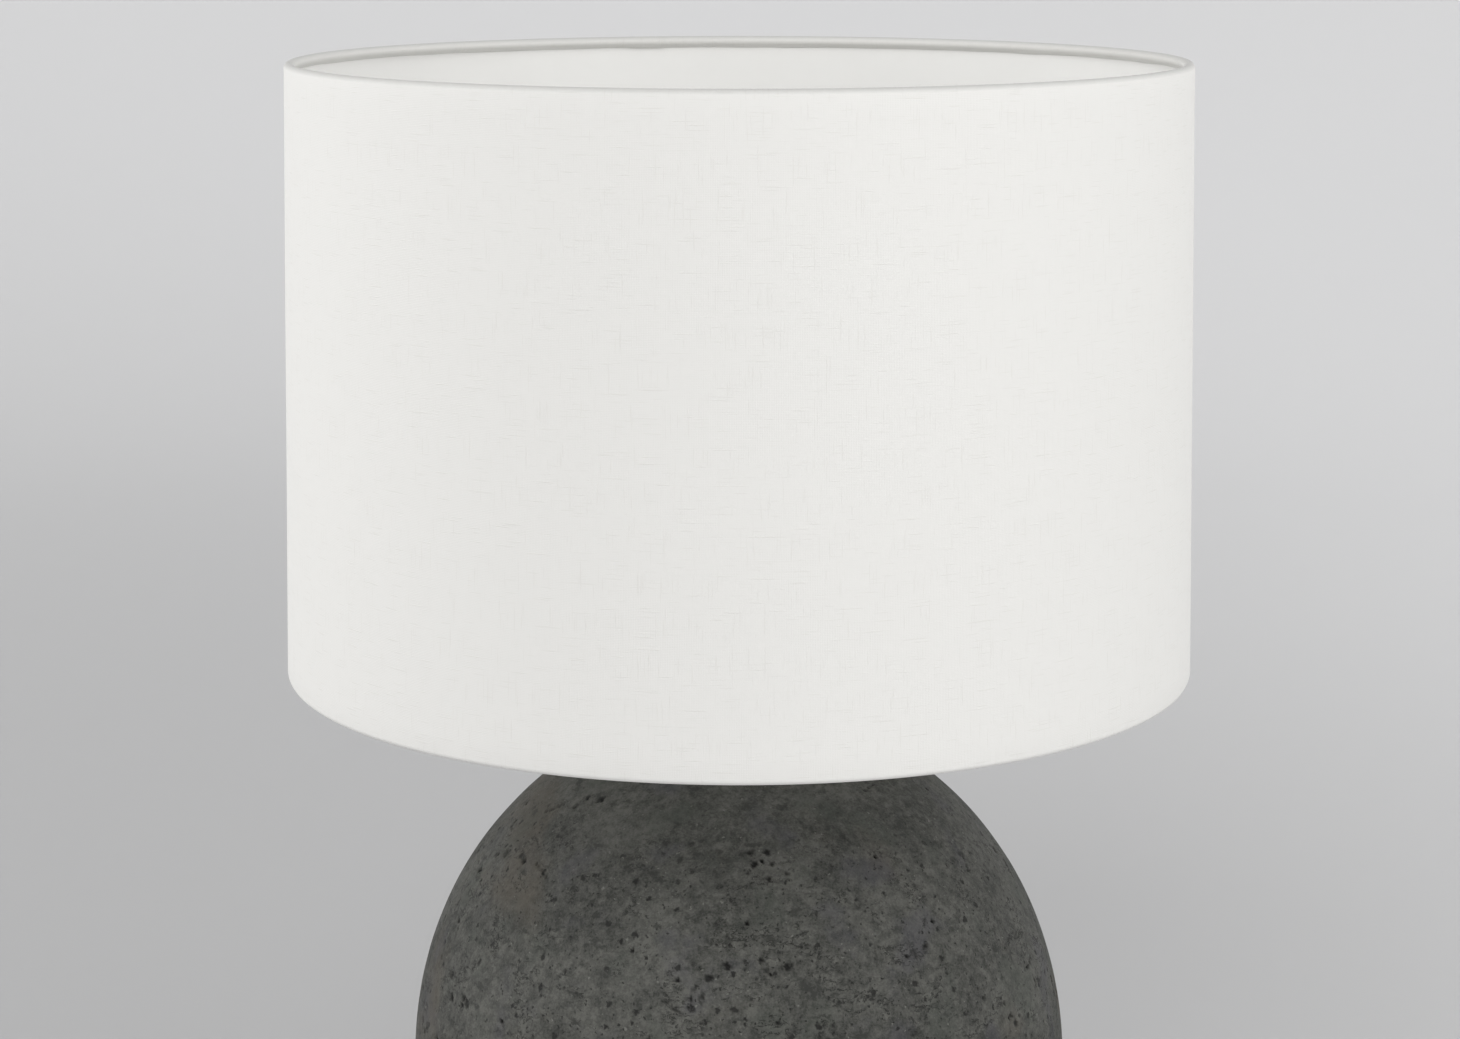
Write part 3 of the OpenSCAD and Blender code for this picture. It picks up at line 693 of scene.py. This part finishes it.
def cementMaterial(c):
    material, tree, shader = newMaterial("castCement", **{"Specular IOR Level": 0.32})
    place = objectPlace(tree)
    wobble = noiseNode(tree, place, *c["wobble"])
    offset = addNode(tree, "ShaderNodeVectorMath", {"operation": "MULTIPLY_ADD"})
    join(tree, wobble, "Color", offset, 0)
    offset.inputs[1].default_value = (c["raggedBy"],) * 3
    tree.links.new(place, offset.inputs[2])
    ragged = offset.outputs[0]

    clouds = noiseNode(tree, place, *c["clouds"])
    blotches = noiseNode(tree, place, *c["blotches"])
    mottle = noiseNode(tree, ragged, *c["mottle"])
    grain = noiseNode(tree, place, *c["grain"])
    tint = noiseNode(tree, place, *c["tint"])
    warmth = noiseNode(tree, place, *c["warmth"])
    level = addNode(tree, "ShaderNodeMapping", None, {"Scale": (1, 1, c["levelStretch"])})
    tree.links.new(ragged, level.inputs["Vector"])
    smudges = noiseNode(tree, level.outputs[0], *c["smudges"])
    smudge = rangeNode(tree, smudges.outputs[0], 0.57, 0.69)
    specks = speckMask(tree, ragged, *c["specks"])
    dots = speckMask(tree, ragged, *c["dots"])
    flecks = speckMask(tree, ragged, *c["flecks"])
    pits = addNode(tree, "ShaderNodeAttribute", {"attribute_name": "pitDepth"})

    # hairlines run where one noise crosses its middle, in a few places only
    course = noiseNode(tree, level.outputs[0], *c["hairCourse"])
    offMiddle = mathNode(tree, "ABSOLUTE", mathNode(tree, "SUBTRACT", course.outputs[0], 0.5))
    places = noiseNode(tree, place, *c["hairPlaces"])
    hairlines = mathNode(tree, "MULTIPLY", rangeNode(tree, offMiddle, 0.004, 0.022, 1.0, 0.0),
                         rangeNode(tree, places.outputs[0], 0.53, 0.60))
    height = addNode(tree, "ShaderNodeSeparateXYZ")
    tree.links.new(place, height.inputs[0])
    spotted = rangeNode(tree, height.outputs["Z"], c["smoothFrom"], c["smoothTo"], 1.0, 0.35)

    tone = c["darkest"]
    for layer, low, high, share in ((clouds, 0.34, 0.66, c["cloudShare"]),
                                    (blotches, 0.34, 0.66, c["blotchShare"]),
                                    (mottle, 0.32, 0.68, c["mottleShare"]),
                                    (grain, 0.25, 0.75, c["grainShare"])):
        spread = rangeNode(tree, layer.outputs[0], low, high, 0, 1, False)
        tone = mathNode(tree, "MULTIPLY_ADD", spread, share, tone)
    body = mixColours(tree, tone, c["dark"], c["light"])
    for layer, low, high, most, colour in ((tint, 0.55, 0.72, 0.4, "blue"),
                                           (tint, 0.45, 0.3, 0.4, "green"),
                                           (warmth, 0.56, 0.72, 0.6, "brown")):
        patch = rangeNode(tree, layer.outputs[0], low, high, 0, most)
        body = mixColours(tree, patch, body, c[colour])
    body = mixColours(tree, mathNode(tree, "MULTIPLY", smudge, 0.8), body, c["dark"])
    body = mixColours(tree, mathNode(tree, "MULTIPLY", flecks, 0.6), body, c["fleck"])
    # partly painted shade: pits, specks, dots and hairlines turn near black, the geometric pits by
    # their depth
    holesAndShade = mathNode(tree, "MAXIMUM", mathNode(tree, "MULTIPLY", specks, 0.85),
                     mathNode(tree, "MULTIPLY", dots, 0.75))
    holesAndShade = mathNode(tree, "MAXIMUM", holesAndShade, mathNode(tree, "MULTIPLY", hairlines, 0.72))
    holesAndShade = mathNode(tree, "MULTIPLY", holesAndShade, spotted)
    holesAndShade = mathNode(tree, "MAXIMUM", holesAndShade, mathNode(tree, "MULTIPLY", pits.outputs["Fac"], 1.5))
    body = mixColours(tree, mathNode(tree, "MINIMUM", holesAndShade, 0.95), body, c["pit"])
    tree.links.new(body, shader.inputs["Base Color"])
    rough = rangeNode(tree, blotches.outputs[0], 0.3, 0.7, 0.72, 0.9)
    tree.links.new(rough, shader.inputs["Roughness"])

    relief = mathNode(tree, "MULTIPLY_ADD", grain.outputs[0], 0.35,
                      mathNode(tree, "MULTIPLY", blotches.outputs[0], 0.5))
    relief = mathNode(tree, "MULTIPLY_ADD", smudge, -0.25, relief)
    relief = mathNode(tree, "MULTIPLY_ADD", holesAndShade, -0.9, relief)
    bump = addNode(tree, "ShaderNodeBump", None, {
        "Strength": c["bumpStrength"], "Distance": c["bumpHeight"]})
    tree.links.new(relief, bump.inputs["Height"])
    join(tree, bump, "Normal", shader, "Normal")
    return material


makeCasting(casting)


# ---- linen cover ----

lowWire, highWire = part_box("bottom_ring_wire"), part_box("top_ring_wire")
cover = dict(
    bottomRadius=shadeHigh.x,
    topRadius=highWire[1].x + 0.0012,    # the liner and the linen lie outside the wire
    bottom=shadeLow.z,
    top=shadeHigh.z,
    cloth=0.0006,
    roll=lowWire[1].z / 2 + lowWire[0].z / 2 - shadeLow.z,
    hem=0.0059,
    linerDepth=0.00125,  # from the cloth's face to the liner's inner one
    tuckRise=0.0007,
    rollFrom=115,        # degrees, where the lower hem's roll begins
    rollEnd=1.44,        # how far in that is, in rolls
    rollSteps=14,
    wallRows=30,
    tuckedRows=11,       # rows inside the shade at each hem
    hemRows=17,          # rows that stay exact at each hem
    # rows at the upper hem's cut edge that get a little painted shade
    shadedHemRows=8,
    columns=240,
    lapColumns=3,
    lapLift=0.0007,
    seamAngle=105.75,    # degrees, at the back, beside an arm
    edgeWander=0.0005,
    wallWave=0.00012,
    armAngles=(90, 210, 330),
    slitFrom=0.0013,
    slitAbove=0.001,
    slitInside=0.0012,
    slitWidth=0.6,       # either side of an arm, in columns
    # how much painted shade those turned-in rows get
    hemInsideShade=0.12,
    flatWidth=1.434,
    flatHeight=0.325,
)


def coverProfile(c):
    # the cloth's middle layer, from the lower hem's cut edge to the upper one:
    # it rolls round the wire and its edge is tucked against the liner
    half, roll = c["cloth"] / 2, c["roll"]
    low = (c["bottomRadius"] - roll, c["bottom"] + roll)
    high = (c["topRadius"] - roll, c["top"] - roll)
    tuck = c["linerDepth"] + half
    bend = (tuck + c["rollEnd"] * roll) / 2      # midway between the cut edge and the roll
    points = [(c["bottomRadius"] - tuck, c["bottom"] + c["hem"]),
              (c["bottomRadius"] - bend, c["bottom"] + c["hem"] - c["tuckRise"])]
    points += arcPoints(low, roll - half, c["rollFrom"], 360, c["rollSteps"])
    start, end = points[-1], (high[0] + roll - half, high[1])
    points += [(start[0] + (end[0] - start[0]) * i / c["wallRows"],
                start[1] + (end[1] - start[1]) * i / c["wallRows"])
               for i in range(1, c["wallRows"])]
    points += arcPoints(high, roll - half, 0, 360 - c["rollFrom"], c["rollSteps"])
    points += [(c["topRadius"] - bend, c["top"] - c["hem"] + c["tuckRise"]),
               (c["topRadius"] - tuck, c["top"] - c["hem"])]
    return points


def makeCover(c):
    points = coverProfile(c)
    piece = drawProfile("linenCover", points)
    column = 360 / c["columns"]
    columns = c["columns"] + c["lapColumns"]
    bpy.ops.mesh.select_all(action="SELECT")
    bpy.ops.transform.rotate(value=-math.radians(c["seamAngle"]), orient_axis="Z",
                             center_override=(0, 0, 0))
    bpy.ops.mesh.spin(steps=columns, angle=math.radians(columns * column),
                      center=(0, 0, 0), axis=(0, 0, 1))
    bpy.ops.object.mode_set(mode="OBJECT")
    mesh = piece.data
    rows = len(points)

    # each vertex's place along the cloth, both ways
    run = [0.0]
    for a, b in zip(points, points[1:]):
        run.append(run[-1] + math.dist(a, b))
    lookUp = kdtree.KDTree(rows)
    for i, (r, z) in enumerate(points):
        lookUp.insert((r, 0, z), i)
    lookUp.balance()
    along = {}
    order = {}
    for vertex in mesh.vertices:
        co = vertex.co
        row = lookUp.find((math.hypot(co.x, co.y), 0, co.z))[1]
        along[vertex.index] = run[row]
        order.setdefault(row, []).append(vertex.index)
    turnOf = {}
    for row, members in order.items():
        # spin lays its columns down in order, so the vertex number tells the two ends apart
        for step, index in enumerate(sorted(members)):
            turnOf[index] = step * math.radians(column)
    weave = mesh.uv_layers.new(name="weave")
    meanRadius = (c["bottomRadius"] + c["topRadius"]) / 2
    for loop in mesh.loops:
        index = loop.vertex_index
        weave.data[loop.index].uv = (turnOf[index] * meanRadius, along[index])

    # the end of the cloth laps over its start, and both hems' cut edges wander a little
    lapStart = math.radians(c["columns"] * column)
    lastRow, width = rows - 1, math.radians(column)
    rowOf = {index: row for row, members in order.items() for index in members}
    for vertex in mesh.vertices:
        co, turn, row = vertex.co, turnOf[vertex.index], rowOf[vertex.index]
        radius = math.hypot(co.x, co.y)
        lift = c["lapLift"] * min(1, max(0, (turn - lapStart + width) / width))
        inside = row < c["tuckedRows"] or row > lastRow - c["tuckedRows"]
        grow = 1 + (-lift if inside else lift) / radius
        co.x, co.y = co.x * grow, co.y * grow
        if row in (0, lastRow):
            spot = Vector((9 * math.cos(turn), 9 * math.sin(turn), row))
            co.z += c["edgeWander"] * noise.noise(spot)
        elif c["hemRows"] < row < lastRow - c["hemRows"]:
            spot = Vector((3 * math.cos(turn), 3 * math.sin(turn), 8 * co.z))
            wave = c["wallWave"] * noise.noise(spot)
            co.x, co.y = co.x * (1 + wave / radius), co.y * (1 + wave / radius)

    # painted shade: the upper hem is greyer where it is turned, most of all along its fold,
    # standing in for the shade along the rolled rim
    hemShadeValues = [0.0] * len(mesh.vertices)
    for index, row in rowOf.items():
        fold = 1 - (c["top"] - points[row][1]) / c["roll"]
        hemShadeValues[index] = max(0.0, fold, c["hemInsideShade"] if row > lastRow - c["shadedHemRows"] else 0.0)
    mesh.attributes.new("hemPaintedShade", "FLOAT", "POINT").data.foreach_set("value", hemShadeValues)

    # slits in the lower hem where the arms come through
    def atArm(centre):
        up = centre.z - c["bottom"]
        inHem = c["slitFrom"] < up < c["hem"] + c["slitAbove"]
        inHem = inHem and math.hypot(centre.x, centre.y) < c["bottomRadius"] - c["slitInside"]
        turn = math.degrees(math.atan2(centre.y, centre.x))
        return inHem and any(abs((turn - arm + 180) % 360 - 180) < c["slitWidth"] * column
                             for arm in c["armAngles"])

    clearSelection()
    piece.select_set(True)
    bpy.context.view_layer.objects.active = piece
    pickFaces(piece, atArm)
    bpy.ops.mesh.delete(type="FACE")
    bpy.ops.object.mode_set(mode="OBJECT")
    thick = piece.modifiers.new("cloth", "SOLIDIFY")
    thick.thickness, thick.offset, thick.use_even_offset = c["cloth"], 0, True
    applyModifiers(piece)
    bpy.ops.object.mode_set(mode="EDIT")
    bpy.ops.mesh.select_all(action="SELECT")
    bpy.ops.mesh.normals_make_consistent(inside=False)
    smoothPiece(piece, 40)
    piece.data.materials.append(linenMaterial(linen))
    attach(piece, "shade")
    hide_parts("shade_cover")
    print("linenCover:", len(piece.data.polygons), "faces")


linen = dict(
    thread=(0.850, 0.843, 0.815),
    slub=(0.800, 0.790, 0.755),
    # painted shade colour for the upper hem's fold and turned-in rows
    hem=(0.44, 0.436, 0.42),
    pitch=0.00075,
    slubAcross=1300,
    slubAlong=(55, 60),      # in the upright threads and in the level ones
    slubRarity=0.62,
    slubShare=0.7,
    gapShare=0.12,
    hemShadeShare=0.95,
    bumpStrength=0.5,
    bumpHeight=0.00014,
)


def slubMask(tree, place, across, along, threshold):
    # sparse thick places in single threads
    stretched = addNode(tree, "ShaderNodeMapping", None, {"Scale": (across, along, 1)})
    tree.links.new(place, stretched.inputs["Vector"])
    threads = noiseNode(tree, stretched.outputs[0], 1.0, 1, 0.5)
    return rangeNode(tree, threads.outputs[0], threshold, threshold + 0.12)


def linenMaterial(c):
    material, tree, shader = newMaterial("whiteLinen", **{
        "Roughness": 0.9, "Specular IOR Level": 0.2, "Sheen Weight": 0.12, "Sheen Roughness": 0.5})
    weave = addNode(tree, "ShaderNodeUVMap", {"uv_map": "weave"})
    place = weave.outputs["UV"]
    threads = []
    for direction in ("X", "Y"):
        bands = addNode(tree, "ShaderNodeTexWave", {"bands_direction": direction}, {
            "Scale": 0.314 / c["pitch"], "Distortion": 0.6, "Detail": 1.0, "Detail Scale": 0.3})
        tree.links.new(place, bands.inputs["Vector"])
        threads.append(bands.outputs["Fac"])
    cloth = mathNode(tree, "MAXIMUM", *threads)
    upright = slubMask(tree, place, c["slubAcross"], c["slubAlong"][0], c["slubRarity"])
    level = slubMask(tree, place, c["slubAlong"][1], c["slubAcross"], c["slubRarity"])
    slubs = mathNode(tree, "MAXIMUM", upright, level)
    colour = mixColours(tree, mathNode(tree, "MULTIPLY", slubs, c["slubShare"]),
                        c["thread"], c["slub"])
    gaps = mathNode(tree, "MULTIPLY_ADD", cloth, -c["gapShare"], c["gapShare"])
    colour = mixColours(tree, gaps, colour, c["slub"])
    # painted shade on the upper hem, read from the cover's attribute
    hem = addNode(tree, "ShaderNodeAttribute", {"attribute_name": "hemPaintedShade"})
    foldShade = mathNode(tree, "MULTIPLY", hem.outputs["Fac"], c["hemShadeShare"])
    colour = mixColours(tree, foldShade, colour, c["hem"])
    tree.links.new(colour, shader.inputs["Base Color"])
    height = mathNode(tree, "MULTIPLY_ADD", slubs, 0.6, mathNode(tree, "MULTIPLY", cloth, 0.5))
    bump = addNode(tree, "ShaderNodeBump", None, {
        "Strength": c["bumpStrength"], "Distance": c["bumpHeight"]})
    tree.links.new(height, bump.inputs["Height"])
    join(tree, bump, "Normal", shader, "Normal")
    return material


makeCover(cover)


# ---- felt pad ----

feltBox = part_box("felt_pad")
felt = dict(
    radius=feltBox[1].x,
    thickness=feltBox[1].z - feltBox[0].z,
    sides=180,
    rings=(0.004, 0.02, 0.03),
    edgeRound=0.0008,
    ragged=0.0004,
    raggedScale=160,
    edgeWidth=0.001,
    grey=((0.030, 0.031, 0.030), (0.055, 0.055, 0.052)),
)


def makeFelt(f):
    clearSelection()
    bpy.ops.mesh.primitive_cylinder_add(
        vertices=f["sides"], radius=f["radius"] - f["ragged"], depth=f["thickness"],
        location=(0, 0, feltBox[0].z + f["thickness"] / 2))
    pad = bpy.context.object
    pad.name = pad.data.name = "feltPad"
    bpy.ops.object.transform_apply(location=True, rotation=True, scale=True)
    bpy.ops.object.mode_set(mode="EDIT")
    pickFaces(pad, lambda centre: math.hypot(centre.x, centre.y) < 0.01)
    for width in f["rings"]:
        bpy.ops.mesh.inset(thickness=width)
    bpy.ops.object.mode_set(mode="OBJECT")
    for vertex in pad.data.vertices:
        radius = math.hypot(vertex.co.x, vertex.co.y)
        if radius > f["radius"] - f["edgeWidth"]:
            grow = 1 + f["ragged"] * noise.noise(vertex.co * f["raggedScale"]) / radius
            vertex.co.x, vertex.co.y = vertex.co.x * grow, vertex.co.y * grow
    edge = pad.modifiers.new("softEdge", "BEVEL")
    edge.width, edge.segments, edge.angle_limit = f["edgeRound"], 3, math.radians(60)
    applyModifiers(pad)
    smoothPiece(pad, 50)
    pad.data.materials.append(variedMaterial(
        "pressedFelt", f["grey"], patch=900, grain=2600, depth=0.9, rough=(0.92, 1.0),
        **{"Sheen Weight": 0.4, "Specular IOR Level": 0.1}))
    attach(pad, "base")
    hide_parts("felt_pad")
    print("feltPad:", len(pad.data.polygons), "faces")


makeFelt(felt)


# ---- finishes of the other parts ----

def dressNodes(material, *names):
    for name in names:
        node = cadNodes[name]
        node.data.materials.clear()
        node.data.materials.append(material)


dressNodes(variedMaterial("linerFilm", ((0.94, 0.935, 0.912), (0.925, 0.92, 0.897)),
                          patch=9, grain=420, depth=0.05, rough=(0.5, 0.62)),
           "shade_liner")
dressNodes(variedMaterial("whitePowderCoat", ((0.78, 0.78, 0.77), (0.74, 0.74, 0.72)),
                          patch=60, grain=1100, depth=0.35, rough=(0.34, 0.5)),
           "fitter_ring", "fitter_arm_1", "fitter_arm_2", "fitter_arm_3",
           "bottom_ring_wire", "top_ring_wire")
dressNodes(variedMaterial("zincPlate", ((0.56, 0.57, 0.58), (0.68, 0.68, 0.66)),
                          patch=150, grain=1500, depth=0.25, rough=(0.28, 0.48),
                          stretch=(1, 1, 2.5), Metallic=1.0),
           "base_plate", "bottom_washer", "bottom_lock_washer", "bottom_nut", "threaded_tube",
           "lock_nut", "check_ring", "terminal_screws", "switch_spindle", "cap_grub_screw")
dressNodes(variedMaterial("blackedSteel", ((0.030, 0.030, 0.029), (0.050, 0.049, 0.047)),
                          patch=90, grain=1200, depth=0.3, rough=(0.36, 0.55)),
           "vase_cap", "holder_cap")
dressNodes(variedMaterial("brassPart", ((0.62, 0.44, 0.19), (0.50, 0.34, 0.14)),
                          patch=180, grain=1800, depth=0.2, rough=(0.24, 0.42), Metallic=1.0),
           "screw_shell", "centre_contact", "bulb_contact")
dressNodes(variedMaterial("blackPhenolic", ((0.016, 0.015, 0.014), (0.028, 0.025, 0.022)),
                          patch=110, grain=700, depth=0.12, rough=(0.22, 0.36)),
           "holder_body", "shade_ring")
dressNodes(variedMaterial("knobPlastic", ((0.014, 0.014, 0.014), (0.022, 0.022, 0.022)),
                          patch=200, grain=1500, depth=0.1, rough=(0.16, 0.28)),
           "switch_knob", "bulb_cap_insulator")
dressNodes(variedMaterial("glazedPorcelain", ((0.80, 0.79, 0.75), (0.74, 0.73, 0.69)),
                          patch=140, grain=500, depth=0.1, rough=(0.10, 0.2),
                          **{"Coat Weight": 0.5}),
           "holder_insulator")
dressNodes(variedMaterial("nylonCam", ((0.62, 0.61, 0.56), (0.56, 0.55, 0.50)),
                          patch=160, grain=900, depth=0.15, rough=(0.45, 0.6)),
           "switch_cam")
dressNodes(variedMaterial("blackRubber", ((0.018, 0.018, 0.018), (0.032, 0.031, 0.030)),
                          patch=220, grain=1600, depth=0.45, rough=(0.62, 0.82)),
           "neck_washer", "cord_bush")
dressNodes(variedMaterial("aluminiumCap", ((0.74, 0.74, 0.73), (0.66, 0.66, 0.65)),
                          patch=120, grain=1700, depth=0.2, rough=(0.24, 0.4), Metallic=1.0),
           "bulb_screw_cap")
dressNodes(variedMaterial("bulbHousing", ((0.80, 0.80, 0.785), (0.77, 0.77, 0.75)),
                          patch=80, grain=800, depth=0.08, rough=(0.28, 0.4)),
           "bulb_housing")
dressNodes(variedMaterial("ledBoard", ((0.70, 0.71, 0.68), (0.62, 0.64, 0.60)),
                          patch=300, grain=1500, depth=0.2, rough=(0.4, 0.6)),
           "bulb_led_board")
dressNodes(variedMaterial("frostedDome", ((0.86, 0.855, 0.83), (0.83, 0.825, 0.80)),
                          patch=60, grain=1400, depth=0.12, rough=(0.34, 0.5),
                          **{"Subsurface Weight": 0.25, "Subsurface Scale": 0.4,
                             "Subsurface Radius": (0.01, 0.009, 0.008)}),
           "bulb_diffuser")
print("finishes given to the CAD parts")
